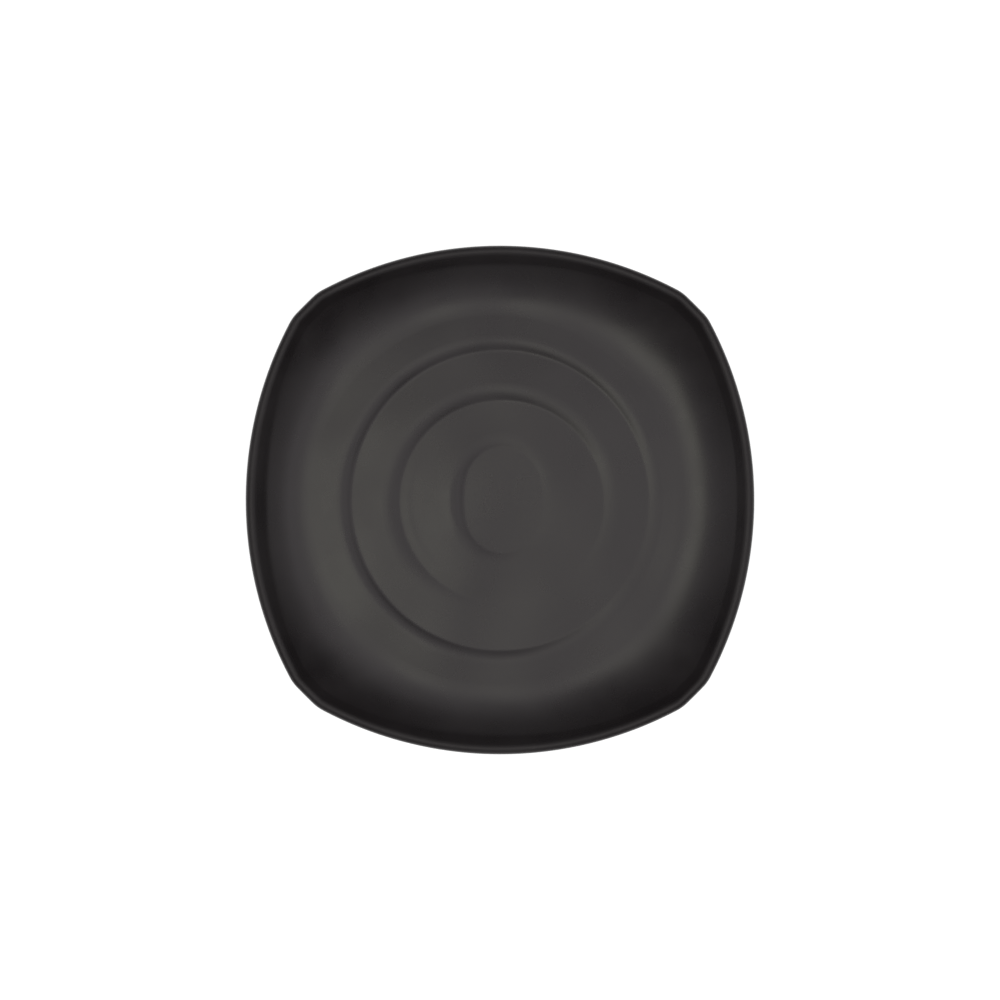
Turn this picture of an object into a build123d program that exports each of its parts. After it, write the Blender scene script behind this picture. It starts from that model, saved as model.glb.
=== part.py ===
"""Square dinner plate: a glazed stoneware body with a full-round lip, on a bare foot ring.

Millimetres and degrees. The origin is the centre of the foot ring on the table, with +Z up.
"""

import os
from math import cos, radians, sin, tan

from build123d import *

# Outline of the lip, seen from above: four bowed sides, and at each corner a short flat
# between two rounded elbows
WIDTH = 267.0
SIDE_TURN = 55.7
CORNER_TURN = 2.0
CORNER_LENGTH = 12.0
ELBOW_RADIUS = 23.0

# Wall: inside, it curves up from the flat of the well to the lip, and outside, it flares straight
# from the base. Squareness 0 is a circle, and 1 is an offset of the lip's outline
HEIGHT = 25.4
WALL_THICKNESS = 6.0
WALL_RUN = 25.0
WELL_SQUARENESS = 0.2
WALL_STEPS = 3
FLARE_TILT = 37.0
BASE_SQUARENESS = 0.6
LIP_TILT = 50.0

# Throwing rings in the well: each is a sharp valley with a rounded shoulder outside it,
# which falls away gently to the next valley
RING_BORDER = 2.0
LAST_RUN = 20.5
RING_PITCH = 26.3
VALLEY_RISE = 0.1
SHOULDER_RUN = 9.0
RAMP_TILT = 3.5

# Foot ring
FOOT_HEIGHT = 5.0
FOOT_INSET = 17.0
FOOT_WIDTH = 5.0
FOOT_DRAFT = 10.0
FOOT_BEVEL = 1.0

# Radii of the outline. A side turns through its arc, then an elbow, then half a corner flat,
# which is an eighth of the way round
ELBOW_TURN = (90 - SIDE_TURN - CORNER_TURN) / 2
CORNER_RADIUS = CORNER_LENGTH / radians(CORNER_TURN)


def width_share(start, stop):
    """Half width of the plate that each millimetre of radius gives between two headings."""
    return sin(radians(stop)) - cos(radians(stop)) - sin(radians(start)) + cos(radians(start))


SIDE_END = SIDE_TURN / 2
ELBOW_END = SIDE_END + ELBOW_TURN
ELBOW_SHARE = ELBOW_RADIUS * width_share(SIDE_END, ELBOW_END)
CORNER_SHARE = CORNER_RADIUS * width_share(ELBOW_END, 45)
SIDE_RADIUS = (WIDTH / 2 - ELBOW_SHARE - CORNER_SHARE) / width_share(0, SIDE_END)

# The lip is half a tube across a leaning wall, with a straight stretch under its inner edge,
# so that the wall ends at one level, WALL_TOP, on both sides
LIP_RADIUS = WALL_THICKNESS / 2
LIP_CENTRE = WIDTH / 2 - LIP_RADIUS
LIP_LEVEL = HEIGHT - LIP_RADIUS
LIP_SLOPE = tan(radians(LIP_TILT))
LIP_REACH = LIP_RADIUS * sin(radians(LIP_TILT))
LIP_DROP = LIP_RADIUS * cos(radians(LIP_TILT))
LIP_OUTSIDE = LIP_CENTRE + LIP_REACH
LIP_INSIDE = LIP_CENTRE - LIP_REACH - 2 * LIP_DROP / LIP_SLOPE
WALL_TOP = LIP_LEVEL - LIP_DROP

# Half widths of the base and the well, and the radii and levels of the rings
BASE_REACH = LIP_OUTSIDE - (WALL_TOP - FOOT_HEIGHT) / tan(radians(FLARE_TILT))
WELL_LEVEL = FOOT_HEIGHT + WALL_THICKNESS
WELL_REACH = LIP_INSIDE - WALL_RUN
RING_EDGE = WELL_REACH - RING_BORDER
LAST_RING = RING_EDGE - LAST_RUN
RING_COUNT = round(LAST_RING / RING_PITCH)
VALLEY_LEVEL = WELL_LEVEL + VALLEY_RISE
RAMP_SLOPE = tan(radians(RAMP_TILT))

# The foot ring leans out on both sides, towards the floor
FOOT_OUTSIDE = WELL_REACH - FOOT_INSET
FOOT_INSIDE = FOOT_OUTSIDE - FOOT_WIDTH
FOOT_FLARE = (FOOT_HEIGHT - FOOT_BEVEL) * tan(radians(FOOT_DRAFT))


def heading(angle):
    return cos(radians(angle)), sin(radians(angle))


def outline(half_width, squareness, level):
    """Closed run of tangent arcs: a circle at squareness 0, an offset of the lip at 1."""
    spread = half_width - squareness * WIDTH / 2
    side, elbow, corner = (
        squareness * radius + spread for radius in (SIDE_RADIUS, ELBOW_RADIUS, CORNER_RADIUS)
    )
    half_side = (side, SIDE_END)
    elbow_arc = (elbow, ELBOW_TURN)
    quarter = (half_side, elbow_arc, (corner, CORNER_TURN), elbow_arc, half_side)
    point = (half_width, 0)
    direction = 90
    arcs = []
    for radius, turn in quarter * 4:
        arcs.append(JernArc(point, heading(direction), radius, turn))
        point = arcs[-1] @ 1
        direction += turn
    return Plane.XY.offset(level) * Wire(arcs)


def base_sections():
    """Edges of the flared outside, at the base and at the foot of the lip."""
    base = outline(BASE_REACH, BASE_SQUARENESS, FOOT_HEIGHT)
    top = outline(LIP_OUTSIDE, 1, WALL_TOP)
    return Face(base), Face(top)


def well_sections():
    """Sections of the hollow, which squares up from the edge of the well to the foot of the lip."""
    low = Vector(WELL_REACH, WELL_LEVEL)
    bend = Vector(LIP_INSIDE - (WALL_TOP - WELL_LEVEL) / LIP_SLOPE, WELL_LEVEL)
    top = Vector(LIP_INSIDE, WALL_TOP)
    sections = []
    for step in range(WALL_STEPS + 1):
        share = step / WALL_STEPS
        row = low * (1 - share) ** 2 + bend * 2 * share * (1 - share) + top * share**2
        squareness = WELL_SQUARENESS + (1 - WELL_SQUARENESS) * share**2
        sections.append(Face(outline(row.X, squareness, row.Y)))
    return sections


def draw_rings():
    """Half section of the rings on the floor, drawn inwards."""
    edge = Vector(RING_EDGE, WELL_LEVEL)
    for ring in range(RING_COUNT):
        valley = Vector(LAST_RING - ring * RING_PITCH, VALLEY_LEVEL)
        ramp_run = edge.X - valley.X - SHOULDER_RUN
        crest = edge + Vector(-ramp_run, ramp_run * RAMP_SLOPE)
        bend = crest + Vector(-SHOULDER_RUN, SHOULDER_RUN * RAMP_SLOPE) / 2
        Line(edge, crest)
        Bezier(crest, bend, valley)
        edge = valley
    Polyline(edge, (0, VALLEY_LEVEL), (0, WELL_LEVEL), (RING_EDGE, WELL_LEVEL))


def draw_lip():
    """Section of the lip: two quarter circles over the wall, and the stretch under their inner end."""
    centre = Vector(LIP_CENTRE, LIP_LEVEL)
    out = Vector(*heading(LIP_TILT - 90)) * LIP_RADIUS
    up = Vector(*heading(LIP_TILT)) * LIP_RADIUS
    for start, stop in ((out, up), (up, -out)):
        Bezier(centre + start, centre + start + stop, centre + stop, weights=(1, cos(radians(45)), 1))
    Polyline(centre - out, (LIP_INSIDE, WALL_TOP), centre + out)


# Glazed body: a flared block, hollowed out, with rings turned on its floor and a swept lip
with BuildPart() as plate_body:
    loft(base_sections(), ruled=True)
    loft(well_sections(), mode=Mode.SUBTRACT)
    with BuildSketch(Plane.XZ):
        with BuildLine():
            draw_rings()
        make_face()
    revolve(axis=Axis.Z)
    with BuildSketch(Plane.XZ):
        with BuildLine():
            draw_lip()
        make_face()
    sweep(path=outline(LIP_CENTRE, 1, LIP_LEVEL))
plate_body.part.label = "plate_body"

# Bare foot ring, with bevelled edges, stuck to the underside of the floor
with BuildPart() as foot_ring:
    with BuildSketch(Plane.XZ):
        with BuildLine():
            Polyline(
                (FOOT_OUTSIDE + FOOT_FLARE, FOOT_HEIGHT),
                (FOOT_OUTSIDE, FOOT_BEVEL),
                (FOOT_OUTSIDE - FOOT_BEVEL, 0),
                (FOOT_INSIDE + FOOT_BEVEL, 0),
                (FOOT_INSIDE, FOOT_BEVEL),
                (FOOT_INSIDE - FOOT_FLARE, FOOT_HEIGHT),
                close=True,
            )
        make_face()
    revolve(axis=Axis.Z)
foot_ring.part.label = "foot_ring"

os.makedirs("parts", exist_ok=True)
for piece in (plate_body, foot_ring):
    export_step(piece.part, f"parts/{piece.part.label}.step")
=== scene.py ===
"""Square dinner plate in satin black glaze, seen from straight above on a white ground.

Metres and radians, in the row frame: the plate stands on z = 0 with +Z up, and the top of the
picture is +Y.
"""

from dataclasses import dataclass
from math import cos, pi, radians, sin, tan

import bpy
import numpy as np
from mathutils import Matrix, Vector


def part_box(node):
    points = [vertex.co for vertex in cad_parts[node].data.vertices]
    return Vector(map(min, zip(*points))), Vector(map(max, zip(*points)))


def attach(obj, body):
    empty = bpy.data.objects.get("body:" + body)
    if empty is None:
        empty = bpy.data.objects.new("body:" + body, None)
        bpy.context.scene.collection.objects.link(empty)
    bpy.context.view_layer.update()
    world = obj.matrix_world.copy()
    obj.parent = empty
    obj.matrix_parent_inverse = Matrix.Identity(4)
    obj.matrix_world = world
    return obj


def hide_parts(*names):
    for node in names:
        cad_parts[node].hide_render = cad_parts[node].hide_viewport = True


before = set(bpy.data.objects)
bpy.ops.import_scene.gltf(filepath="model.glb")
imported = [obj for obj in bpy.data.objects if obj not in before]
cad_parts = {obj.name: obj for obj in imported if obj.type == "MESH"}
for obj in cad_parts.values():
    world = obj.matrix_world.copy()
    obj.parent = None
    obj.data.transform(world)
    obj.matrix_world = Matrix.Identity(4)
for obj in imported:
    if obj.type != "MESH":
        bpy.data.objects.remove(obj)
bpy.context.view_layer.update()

MM = 0.001
body_low, body_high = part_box("plate_body")

# Outline of the lip, as in the part's source
WIDTH = body_high[0] - body_low[0]
SIDE_TURN = radians(55.7)
CORNER_TURN = radians(2.0)
CORNER_LENGTH = 12.0 * MM
ELBOW_RADIUS = 23.0 * MM
ELBOW_TURN = (pi / 2 - SIDE_TURN - CORNER_TURN) / 2
SIDE_END = SIDE_TURN / 2
ELBOW_END = SIDE_END + ELBOW_TURN
CORNER_RADIUS = CORNER_LENGTH / CORNER_TURN

# Wall, lip, well and straight outside, as in the part's source
HEIGHT = body_high[2]
UNDERSIDE = body_low[2]
WALL_THICKNESS = 6.0 * MM
WALL_RUN = 25.0 * MM
WELL_SQUARENESS = 0.2
BASE_SQUARENESS = 0.6
FLARE_SLOPE = tan(radians(37.0))
LIP_TILT = radians(50.0)
LIP_RADIUS = WALL_THICKNESS / 2
LIP_CENTRE = WIDTH / 2 - LIP_RADIUS
LIP_LEVEL = HEIGHT - LIP_RADIUS
LIP_SLOPE = tan(LIP_TILT)
LIP_REACH = LIP_RADIUS * sin(LIP_TILT)
LIP_DROP = LIP_RADIUS * cos(LIP_TILT)
LIP_OUTSIDE = LIP_CENTRE + LIP_REACH
LIP_INSIDE = LIP_CENTRE - LIP_REACH - 2 * LIP_DROP / LIP_SLOPE
WALL_TOP = LIP_LEVEL - LIP_DROP
WELL_LEVEL = UNDERSIDE + WALL_THICKNESS
WELL_REACH = LIP_INSIDE - WALL_RUN
BASE_REACH = LIP_OUTSIDE - (WALL_TOP - UNDERSIDE) / FLARE_SLOPE
BASE_ROUNDING = 2.0 * MM

# Throwing rings: each has a valley, a shoulder outside it, and a ramp down to the next valley
RING_BORDER = 2.0 * MM
RING_EDGE = WELL_REACH - RING_BORDER
VALLEY_DEPTH = 0.3 * MM
VALLEY_LEVEL = WELL_LEVEL - VALLEY_DEPTH
VALLEY_ROUNDING = 1.4 * MM
RAMP_SLOPE = tan(radians(3.5))

# Foot ring, as in the part's source, with its edges worn round
FOOT_WIDTH = 5.0 * MM
FOOT_INSET = 17.0 * MM
FOOT_BEVEL = 1.0 * MM
FOOT_WEAR = 0.45 * MM
FOOT_OUTSIDE = WELL_REACH - FOOT_INSET
FOOT_INSIDE = FOOT_OUTSIDE - FOOT_WIDTH
FOOT_DRAFT = radians(10.0)
FOOT_FLARE = (UNDERSIDE - FOOT_BEVEL) * tan(FOOT_DRAFT)

# How far the edge of the well lies towards +X of the middle
WELL_SHIFT = -3.2 * MM

# Unevenness of a hand-made surface: slow waves, each with this steepest slope
WAVE_SLOPE = 0.004
WAVE_COUNT = 14
SHORTEST_WAVE = 22.0 * MM
LONGEST_WAVE = 70.0 * MM
WAVE_SEED = 4

# Light from the sky: its level against the sum of the powers of a direction's X and Y shares,
# counted from a point a little towards +X, and a warmer patch of it
SKY_POWER = 0.6
SKY_STOPS = (
    (0.0, 0.92), (0.4, 0.9), (0.64, 0.62), (0.78, 0.34), (0.9, 0.16), (1.0, 0.08), (1.2, 0.02),
)
SKY_STRENGTH = 1.22
SKY_SHIFT = 0.05
PATCH_HEADING = radians(191.0)
PATCH_TILT = radians(11.0)
PATCH_REACH = radians(12.0)
PATCH_STRENGTH = 1.9

# Mesh rows of each stretch, and columns round the plate. A column has one outward direction,
# all the way up the wall
RING_ROWS = 16
WALL_ROWS = 40
LIP_ROWS = 20
FLARE_ROWS = 8
UNDERSIDE_ROWS = 6
COLUMNS = 480
ANGLES = np.arange(COLUMNS) * 2 * pi / COLUMNS
OUTWARD = np.column_stack((np.cos(ANGLES), np.sin(ANGLES)))


@dataclass
class Ring:
    """A throwing ring: the course of its valley, and how strong its shoulder is on each side."""

    radius: float
    oval: float
    drift: float
    drift_angle: float
    shoulder: float
    depth: float
    fade: float
    fade_reach: float
    weakest_angle: float

    def valley(self):
        oval = self.oval * np.cos(2 * ANGLES)
        drift = self.drift * np.cos(ANGLES - self.drift_angle)
        return self.radius + oval + drift

    def strength(self):
        away = np.angle(np.exp(1j * (ANGLES - self.weakest_angle)))
        return self.depth * (1 - self.fade * np.exp(-((away / self.fade_reach) ** 2)))


INNER_RING = Ring(
    radius=23.9 * MM, oval=-3.4 * MM, drift=1.8 * MM, drift_angle=0.0, shoulder=7.5 * MM,
    depth=0.75, fade=0.95, fade_reach=radians(140), weakest_angle=radians(-10),
)
MIDDLE_RING = Ring(
    radius=53.2 * MM, oval=0.3 * MM, drift=1.1 * MM, drift_angle=radians(-45), shoulder=9.0 * MM,
    depth=0.78, fade=1.0, fade_reach=radians(90), weakest_angle=radians(-62),
)
OUTER_RING = Ring(
    radius=78.5 * MM, oval=-0.3 * MM, drift=0.1 * MM, drift_angle=radians(-90), shoulder=8.0 * MM,
    depth=0.82, fade=0.85, fade_reach=radians(50), weakest_angle=radians(-22),
)


def direction(angle):
    return np.array((cos(angle), sin(angle)))


def width_share(start, stop):
    """Half width of the plate that each metre of radius gives between two headings."""
    return sin(stop) - cos(stop) - sin(start) + cos(start)


def lip_outline():
    """Point of the lip's outline in each column."""
    side_share = WIDTH / 2
    side_share -= ELBOW_RADIUS * width_share(SIDE_END, ELBOW_END)
    side_share -= CORNER_RADIUS * width_share(ELBOW_END, pi / 4)
    side_radius = side_share / width_share(0, SIDE_END)
    side_centre = np.array((WIDTH / 2 - side_radius, 0))
    elbow_centre = side_centre + (side_radius - ELBOW_RADIUS) * direction(SIDE_END)
    corner_centre = elbow_centre + (ELBOW_RADIUS - CORNER_RADIUS) * direction(ELBOW_END)
    points = np.empty((COLUMNS, 2))
    for column, angle in enumerate(ANGLES):
        quarter = round(angle / (pi / 2)) * pi / 2
        lean = angle - quarter
        if abs(lean) <= SIDE_END:
            centre, radius = side_centre, side_radius
        elif abs(lean) <= ELBOW_END:
            centre, radius = elbow_centre, ELBOW_RADIUS
        else:
            centre, radius = corner_centre, CORNER_RADIUS
        along, across = centre + radius * direction(abs(lean))
        across = -across if lean < 0 else across
        points[column] = along * direction(quarter) + across * direction(quarter + pi / 2)
    return points


OUTLINE = lip_outline()


def row(half_width, level, squareness=0.0):
    """One row of mesh points: a circle at squareness 0, an offset of the lip at 1."""
    spread = np.broadcast_to(half_width - squareness * WIDTH / 2, COLUMNS)
    points = squareness * OUTLINE + spread[:, None] * OUTWARD
    return np.column_stack((points, np.broadcast_to(level, COLUMNS)))


def finger_ridges(radii):
    """Heights of two fine ridges that a fingertip left on the -X half of the well."""
    share = np.maximum(-np.cos(ANGLES), 0) ** 2
    heights = np.zeros(COLUMNS)
    for radius, width, height in ((49.4, 1.9, 0.09), (26.6, 1.5, 0.05)):
        heights += height * MM * np.exp(-(((radii - radius * MM) / (width * MM)) ** 2))
    return share * heights


def ring_rows(ring, outer, outer_level):
    """Rows from a ring's valley outwards over its shoulder and down its ramp."""
    inner = ring.valley()
    step = outer_level - VALLEY_LEVEL
    ramp_run = outer - inner - ring.shoulder
    crest = (step + ramp_run * RAMP_SLOPE) * ring.strength()
    bend = crest * (1 + ring.shoulder / (2 * ramp_run))
    rows = []
    for share in np.linspace(0, 1, RING_ROWS, endpoint=False):
        radii = inner + share * ring.shoulder
        softness = (share * ring.shoulder) ** 2
        softness /= softness + VALLEY_ROUNDING**2
        rises = softness * (2 * share * (1 - share) * bend + share**2 * crest)
        rows.append(row(radii, VALLEY_LEVEL + rises + finger_ridges(radii)))
    for share in np.linspace(0, 1, RING_ROWS, endpoint=False):
        radii = inner + ring.shoulder + share * ramp_run
        rises = crest * (1 - share) + step * share
        rows.append(row(radii, VALLEY_LEVEL + rises + finger_ridges(radii)))
    return rows


def well_rows():
    """Rows from the middle of the well over its rings to its edge."""
    shares = np.linspace(0, 1, RING_ROWS, endpoint=False)[1:]
    rows = [row(INNER_RING.valley() * share, VALLEY_LEVEL) for share in shares]
    rows += ring_rows(INNER_RING, MIDDLE_RING.valley(), VALLEY_LEVEL)
    rows += ring_rows(MIDDLE_RING, OUTER_RING.valley(), VALLEY_LEVEL)
    edge = RING_EDGE + WELL_SHIFT * np.cos(ANGLES)
    rows += ring_rows(OUTER_RING, edge, WELL_LEVEL)
    return rows + [row(edge, WELL_LEVEL)]


def wall_rows():
    """Rows up the inside of the wall, from the edge of the well to the foot of the lip."""
    low = Vector((WELL_REACH, WELL_LEVEL))
    bend = Vector((LIP_INSIDE - (WALL_TOP - WELL_LEVEL) / LIP_SLOPE, WELL_LEVEL))
    top = Vector((LIP_INSIDE, WALL_TOP))
    rows = []
    for share in np.linspace(0, 1, WALL_ROWS):
        point = low * (1 - share) ** 2 + bend * 2 * share * (1 - share) + top * share**2
        squareness = WELL_SQUARENESS + (1 - WELL_SQUARENESS) * share**2
        points = row(point.x, point.y, squareness)
        points[:, 0] += WELL_SHIFT * (1 - share)
        rows.append(points)
    return rows


def lip_rows():
    """Rows over the round lip, from its inner edge to its outer edge."""
    rows = []
    for angle in np.linspace(LIP_TILT + pi / 2, LIP_TILT - pi / 2, LIP_ROWS, endpoint=False):
        half_width = LIP_CENTRE + LIP_RADIUS * cos(angle)
        rows.append(row(half_width, LIP_LEVEL + LIP_RADIUS * sin(angle), 1.0))
    return rows


def flare_rows():
    """Rows down the straight outside of the wall, with the edge of the base worn round."""
    top = np.array((LIP_OUTSIDE, WALL_TOP, 1.0))
    base = np.array((BASE_REACH, UNDERSIDE, BASE_SQUARENESS))
    inner = base - np.array((BASE_ROUNDING, 0, 0))
    straight = 0.9
    rows = [row(*(top + (base - top) * share)) for share in np.linspace(0, straight, FLARE_ROWS)]
    for share in np.linspace(0.2, 1, 5):
        outer = top + (base - top) * (straight + (1 - straight) * share)
        below = base + (inner - base) * share
        rows.append(row(*(outer * (1 - share) + below * share)))
    return rows


def underside_rows():
    """Rows of the flat underside, from its edge inwards."""
    edge = BASE_REACH - BASE_ROUNDING
    shares = np.linspace(1, 0, UNDERSIDE_ROWS, endpoint=False)[1:]
    return [row(edge * share, UNDERSIDE, BASE_SQUARENESS * share) for share in shares]


def waviness(points):
    """Slow unevenness in height, made of waves that run in every direction."""
    random = np.random.default_rng(WAVE_SEED)
    height = np.zeros(len(points))
    for _ in range(WAVE_COUNT):
        heading = random.uniform(0, 2 * pi)
        length = random.uniform(SHORTEST_WAVE, LONGEST_WAVE)
        phase = random.uniform(0, 2 * pi)
        along = points[:, :2] @ direction(heading) * 2 * pi / length
        height += WAVE_SLOPE * length / (2 * pi) * np.cos(along + phase)
    return height


def closed_mesh(name, rows, first_pole=None, last_pole=None):
    """Smooth mesh through rows that go round the plate, closed by poles or back on itself."""
    points = np.concatenate(rows)
    grid = np.arange(len(points)).reshape(len(rows), COLUMNS)
    if first_pole is None:
        grid = np.vstack((grid, grid[:1]))
    ahead = np.roll(grid, -1, axis=1)
    corners = (grid[:-1], grid[1:], ahead[1:], ahead[:-1])
    faces = np.stack(corners, axis=-1).reshape(-1, 4).tolist()
    if first_pole is not None:
        first = len(points)
        points = np.vstack((points, first_pole, last_pole))
        faces += [(first, a, b) for a, b in zip(grid[0].tolist(), ahead[0].tolist())]
        faces += [(first + 1, b, a) for a, b in zip(grid[-1].tolist(), ahead[-1].tolist())]
    mesh = bpy.data.meshes.new(name)
    mesh.from_pydata(points.tolist(), [], faces)
    mesh.shade_smooth()
    piece = bpy.data.objects.new(name, mesh)
    bpy.context.collection.objects.link(piece)
    return piece


def make_body():
    """The glazed body: well, wall and lip, and then the outside back to the middle."""
    inside = well_rows() + wall_rows()
    for points in inside:
        lip_share = (points[:, 2] - WELL_LEVEL) / (WALL_TOP - WELL_LEVEL)
        points[:, 2] += waviness(points) * np.clip(1 - lip_share, 0, 1)
    outside = lip_rows() + flare_rows() + underside_rows()
    middle = (0, 0, inside[0][:, 2].mean())
    return closed_mesh("glazed_body", inside + outside, middle, (0, 0, UNDERSIDE))


def make_foot():
    """The foot ring, with each edge of its section rounded."""
    section = [
        Vector((FOOT_INSIDE - FOOT_FLARE, UNDERSIDE)),
        Vector((FOOT_OUTSIDE + FOOT_FLARE, UNDERSIDE)),
        Vector((FOOT_OUTSIDE, FOOT_BEVEL)),
        Vector((FOOT_OUTSIDE - FOOT_BEVEL, 0)),
        Vector((FOOT_INSIDE + FOOT_BEVEL, 0)),
        Vector((FOOT_INSIDE, FOOT_BEVEL)),
    ]
    rows = []
    for i, corner in enumerate(section):
        before = (section[i - 1] - corner).normalized() * FOOT_WEAR
        after = (section[(i + 1) % len(section)] - corner).normalized() * FOOT_WEAR
        for share in (0, 0.25, 0.5, 0.75, 1):
            point = corner + before * (1 - share) ** 2 + after * share**2
            rows.append(row(point.x, point.y))
    return closed_mesh("clay_foot", rows)


def new_material(name):
    """A material with its shader, and the object's own coordinates for its textures."""
    material = bpy.data.materials.new(name)
    material.use_nodes = True
    nodes = material.node_tree.nodes
    place = nodes.new("ShaderNodeTexCoord").outputs["Object"]
    return material, nodes, material.node_tree.links, nodes["Principled BSDF"], place


def add_noise(nodes, links, place, grain, detail):
    """Noise texture whose patches are about as large as the grain."""
    noise = nodes.new("ShaderNodeTexNoise")
    noise.inputs["Scale"].default_value = 1 / grain
    noise.inputs["Detail"].default_value = detail
    links.new(place, noise.inputs["Vector"])
    return noise.outputs["Fac"]


def add_ramp(nodes, links, factor, stops):
    """Colour ramp through (position, colour) stops."""
    ramp = nodes.new("ShaderNodeValToRGB")
    elements = ramp.color_ramp.elements
    for element, (position, color) in zip(elements, stops):
        element.position = position
        element.color = (*color, 1)
    links.new(factor, ramp.inputs["Fac"])
    return ramp.outputs["Color"]


def add_range(nodes, links, value, low, high, start=0.3, stop=0.7):
    """Spreads part of an input, by default the middle of a noise, over a range of values."""
    spread = nodes.new("ShaderNodeMapRange")
    spread.inputs["From Min"].default_value = start
    spread.inputs["From Max"].default_value = stop
    spread.inputs["To Min"].default_value = low
    spread.inputs["To Max"].default_value = high
    links.new(value, spread.inputs["Value"])
    return spread.outputs["Result"]


def add_math(nodes, links, operation, value, other):
    """Math node on a socket and another socket or a number."""
    math = nodes.new("ShaderNodeMath")
    math.operation = operation
    links.new(value, math.inputs[0])
    if isinstance(other, float):
        math.inputs[1].default_value = other
    else:
        links.new(other, math.inputs[1])
    return math.outputs["Value"]


def add_bump(nodes, links, height, depth, shader):
    """Fine relief on a shader's surface."""
    bump = nodes.new("ShaderNodeBump")
    bump.inputs["Distance"].default_value = depth
    links.new(height, bump.inputs["Height"])
    links.new(bump.outputs["Normal"], shader.inputs["Normal"])


def glaze_material():
    """Satin black glaze, faintly mottled, with a fine orange-peel grain, and drier over the lip."""
    material, nodes, links, shader, place = new_material("black_glaze")
    mottle = add_noise(nodes, links, place, grain=28 * MM, detail=4)
    peel = add_noise(nodes, links, place, grain=1.1 * MM, detail=2)
    black = (0.0100, 0.0083, 0.0089)
    charcoal = (0.0155, 0.0133, 0.0140)
    color = add_ramp(nodes, links, mottle, ((0.3, black), (0.7, charcoal)))
    links.new(color, shader.inputs["Base Color"])
    shader.inputs["Specular Tint"].default_value = (1, 0.945, 0.965, 1)
    height = nodes.new("ShaderNodeSeparateXYZ")
    links.new(place, height.inputs["Vector"])
    satin = add_range(nodes, links, mottle, 0.25, 0.31)
    dry_level = LIP_LEVEL + LIP_RADIUS / 3
    dryness = add_range(nodes, links, height.outputs["Z"], 0, 0.22, start=dry_level, stop=HEIGHT)
    links.new(add_math(nodes, links, "ADD", satin, dryness), shader.inputs["Roughness"])
    add_bump(nodes, links, peel, 0.012 * MM, shader)
    return material


def clay_material():
    """Bare stoneware: a matt buff clay with dark specks and a gritty surface."""
    material, nodes, links, shader, place = new_material("bare_stoneware")
    tone = add_noise(nodes, links, place, grain=9 * MM, detail=5)
    grit = add_noise(nodes, links, place, grain=0.7 * MM, detail=3)
    dark = (0.27, 0.21, 0.165)
    buff = (0.43, 0.355, 0.285)
    links.new(add_ramp(nodes, links, tone, ((0.3, dark), (0.7, buff))), shader.inputs["Base Color"])
    links.new(add_range(nodes, links, grit, 0.75, 0.95), shader.inputs["Roughness"])
    add_bump(nodes, links, grit, 0.08 * MM, shader)
    return material


def floor_material():
    """White ground: the camera and reflections see it near white, darker in the plate's shadow."""
    material = bpy.data.materials.new("white_ground")
    material.use_nodes = True
    nodes = material.node_tree.nodes
    links = material.node_tree.links
    nodes.remove(nodes["Principled BSDF"])
    rays = nodes.new("ShaderNodeLightPath")
    plain = nodes.new("ShaderNodeBsdfDiffuse")
    plain.inputs["Color"].default_value = (0.8, 0.8, 0.8, 1)
    shaded = nodes.new("ShaderNodeBsdfDiffuse")
    shaded.inputs["Color"].default_value = (0.35, 0.35, 0.35, 1)
    glow = nodes.new("ShaderNodeEmission")
    glow.inputs["Strength"].default_value = 0.85
    bright = nodes.new("ShaderNodeAddShader")
    links.new(shaded.outputs["BSDF"], bright.inputs[0])
    links.new(glow.outputs["Emission"], bright.inputs[1])
    seen = rays.outputs["Is Camera Ray"]
    for ray in ("Is Glossy Ray", "Is Transmission Ray"):
        seen = add_math(nodes, links, "MAXIMUM", seen, rays.outputs[ray])
    ground = nodes.new("ShaderNodeMixShader")
    links.new(seen, ground.inputs["Fac"])
    links.new(plain.outputs["BSDF"], ground.inputs[1])
    links.new(bright.outputs["Shader"], ground.inputs[2])
    links.new(ground.outputs["Shader"], nodes["Material Output"].inputs["Surface"])
    return material


def add_floor():
    """Wide flat floor under the plate."""
    reach = 30.0
    signs = ((-1, -1), (1, -1), (1, 1), (-1, 1))
    corners = [(x * reach, y * reach, 0) for x, y in signs]
    mesh = bpy.data.meshes.new("floor")
    mesh.from_pydata(corners, [], [(0, 1, 2, 3)])
    mesh.materials.append(floor_material())
    floor = bpy.data.objects.new("floor", mesh)
    bpy.context.collection.objects.link(floor)


def add_panel(name, location, size, radiance):
    """Soft light panel that faces the plate, as bright as a white surface of that radiance."""
    light = bpy.data.lights.new(name, "AREA")
    light.shape = "RECTANGLE"
    light.size, light.size_y = size
    light.energy = radiance * pi * size[0] * size[1]
    panel = bpy.data.objects.new(name, light)
    panel.location = location
    aim = Vector((0, 0, -1)).rotation_difference(-Vector(location))
    panel.rotation_euler = aim.to_euler()
    panel.visible_camera = False
    bpy.context.collection.objects.link(panel)
    return panel


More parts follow.
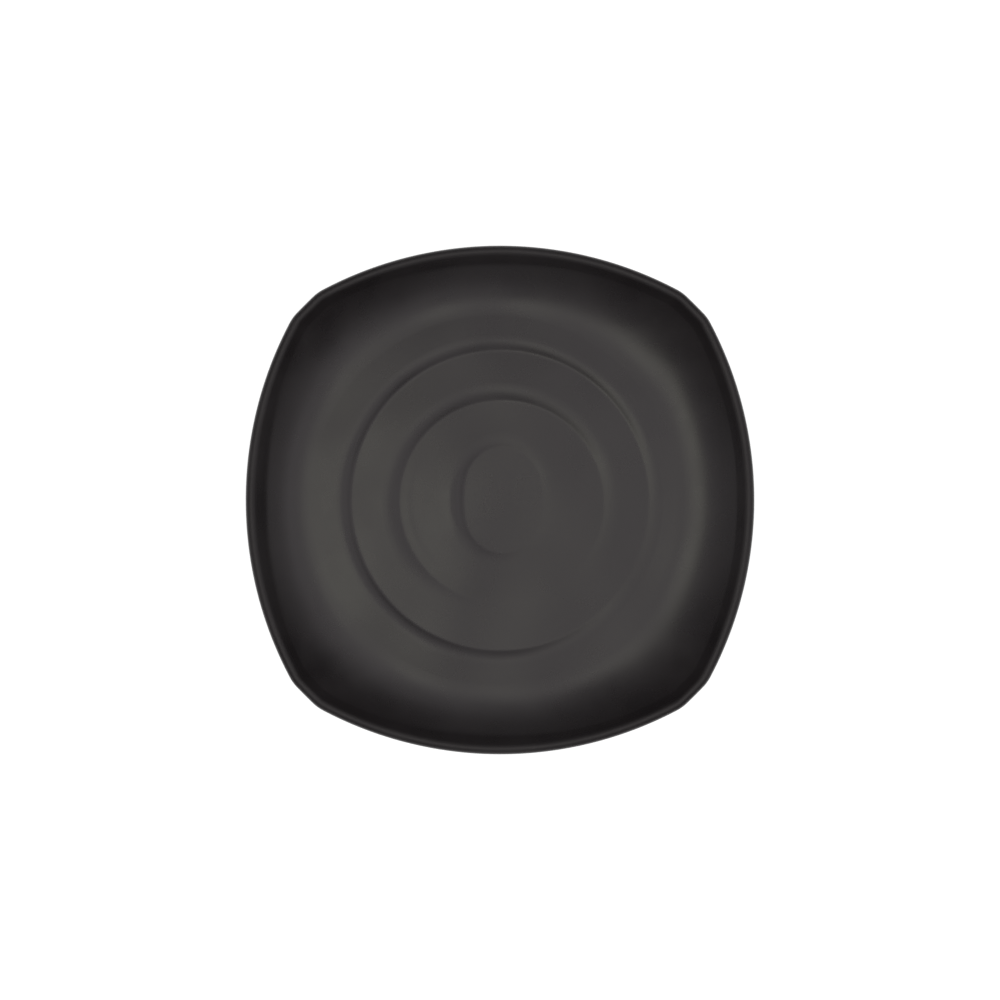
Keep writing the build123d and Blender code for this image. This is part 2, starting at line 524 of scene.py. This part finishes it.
def add_sky():
    """Soft light that is brightest overhead and reaches furthest along X and Y, like crossed strips.

    A warmer patch of it hangs a little towards -X, and the camera sees plain white instead.
    """
    world = bpy.data.worlds.new("studio")
    world.use_nodes = True
    bpy.context.scene.world = world
    nodes = world.node_tree.nodes
    links = world.node_tree.links
    sky_direction = nodes.new("ShaderNodeTexCoord").outputs["Generated"]
    parts = nodes.new("ShaderNodeSeparateXYZ")
    links.new(sky_direction, parts.inputs["Vector"])
    spreads = []
    for axis, shift in (("X", SKY_SHIFT), ("Y", 0.0)):
        offset = add_math(nodes, links, "SUBTRACT", parts.outputs[axis], shift)
        size = add_math(nodes, links, "ABSOLUTE", offset, 0.0)
        spreads.append(add_math(nodes, links, "POWER", size, SKY_POWER))
    widest = SKY_STOPS[-1][0]
    spread = add_math(nodes, links, "ADD", *spreads)
    spread = add_math(nodes, links, "DIVIDE", spread, widest)
    ramp = nodes.new("ShaderNodeValToRGB")
    elements = ramp.color_ramp.elements
    for position, _ in SKY_STOPS[1:-1]:
        elements.new(position / widest)
    for element, (_, level) in zip(elements, SKY_STOPS):
        element.color = (level, level, level, 1)
    links.new(spread, ramp.inputs["Fac"])
    sky = nodes["Background"]
    sky.inputs["Strength"].default_value = SKY_STRENGTH
    links.new(ramp.outputs["Color"], sky.inputs["Color"])
    nearness = nodes.new("ShaderNodeVectorMath")
    nearness.operation = "DOT_PRODUCT"
    across = direction(PATCH_HEADING) * sin(PATCH_TILT)
    nearness.inputs[1].default_value = (*across, cos(PATCH_TILT))
    links.new(sky_direction, nearness.inputs[0])
    patch_share = nodes.new("ShaderNodeMapRange")
    patch_share.interpolation_type = "SMOOTHSTEP"
    patch_share.inputs["From Min"].default_value = cos(PATCH_REACH)
    patch_share.inputs["To Max"].default_value = PATCH_STRENGTH
    links.new(nearness.outputs["Value"], patch_share.inputs["Value"])
    patch = nodes.new("ShaderNodeBackground")
    patch.inputs["Color"].default_value = (0.94, 1, 0.82, 1)
    links.new(patch_share.outputs["Result"], patch.inputs["Strength"])
    light = nodes.new("ShaderNodeAddShader")
    links.new(sky.outputs["Background"], light.inputs[0])
    links.new(patch.outputs["Background"], light.inputs[1])
    white = nodes.new("ShaderNodeBackground")
    white.inputs["Color"].default_value = (1, 1, 1, 1)
    seen = nodes.new("ShaderNodeMixShader")
    links.new(nodes.new("ShaderNodeLightPath").outputs["Is Camera Ray"], seen.inputs["Fac"])
    links.new(light.outputs["Shader"], seen.inputs[1])
    links.new(white.outputs["Background"], seen.inputs[2])
    links.new(seen.outputs["Shader"], nodes["World Output"].inputs["Surface"])


def add_side_panel(name, side, nearest_tilt, width, radiance):
    """Panel on one side, from a tilt off the vertical down to just above the floor."""
    distance = 2.0
    lowest_tilt = radians(86)
    tilt = (nearest_tilt + lowest_tilt) / 2
    length = 2 * distance * tan((lowest_tilt - nearest_tilt) / 2)
    across = side * distance * sin(tilt)
    size = (length, width) if side.y == 0 else (width, length)
    add_panel(name, (across.x, across.y, distance * cos(tilt)), size, radiance)


def add_panels():
    """A dim panel on each side, and an even fill that leaves no reflection."""
    add_side_panel("left_panel", Vector((-1, 0)), radians(20), width=0.9, radiance=0.47)
    add_side_panel("right_panel", Vector((1, 0)), radians(12), width=1.3, radiance=0.5)
    add_side_panel("front_panel", Vector((0, -1)), radians(18), width=1.0, radiance=0.34)
    add_side_panel("back_panel", Vector((0, 1)), radians(18), width=1.0, radiance=0.22)
    fill = add_panel("fill", (0, 0, 3.0), size=(6.0, 6.0), radiance=0.9)
    fill.visible_glossy = False


def add_camera():
    """Long lens straight above the plate, which fills about half the picture's width."""
    plate_share = 0.5087
    distance = 1.5
    data = bpy.data.cameras.new("camera")
    data.lens = data.sensor_width * distance * plate_share / WIDTH
    camera = bpy.data.objects.new("camera", data)
    camera.location = (0, 0, LIP_LEVEL + distance)
    bpy.context.collection.objects.link(camera)
    bpy.context.scene.camera = camera


body = make_body()
body.data.materials.append(glaze_material())
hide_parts("plate_body")
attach(body, "root")

foot = make_foot()
foot.data.materials.append(clay_material())
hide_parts("foot_ring")
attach(foot, "root")

add_floor()
add_sky()
add_panels()
add_camera()
bpy.context.scene.view_settings.view_transform = "Standard"
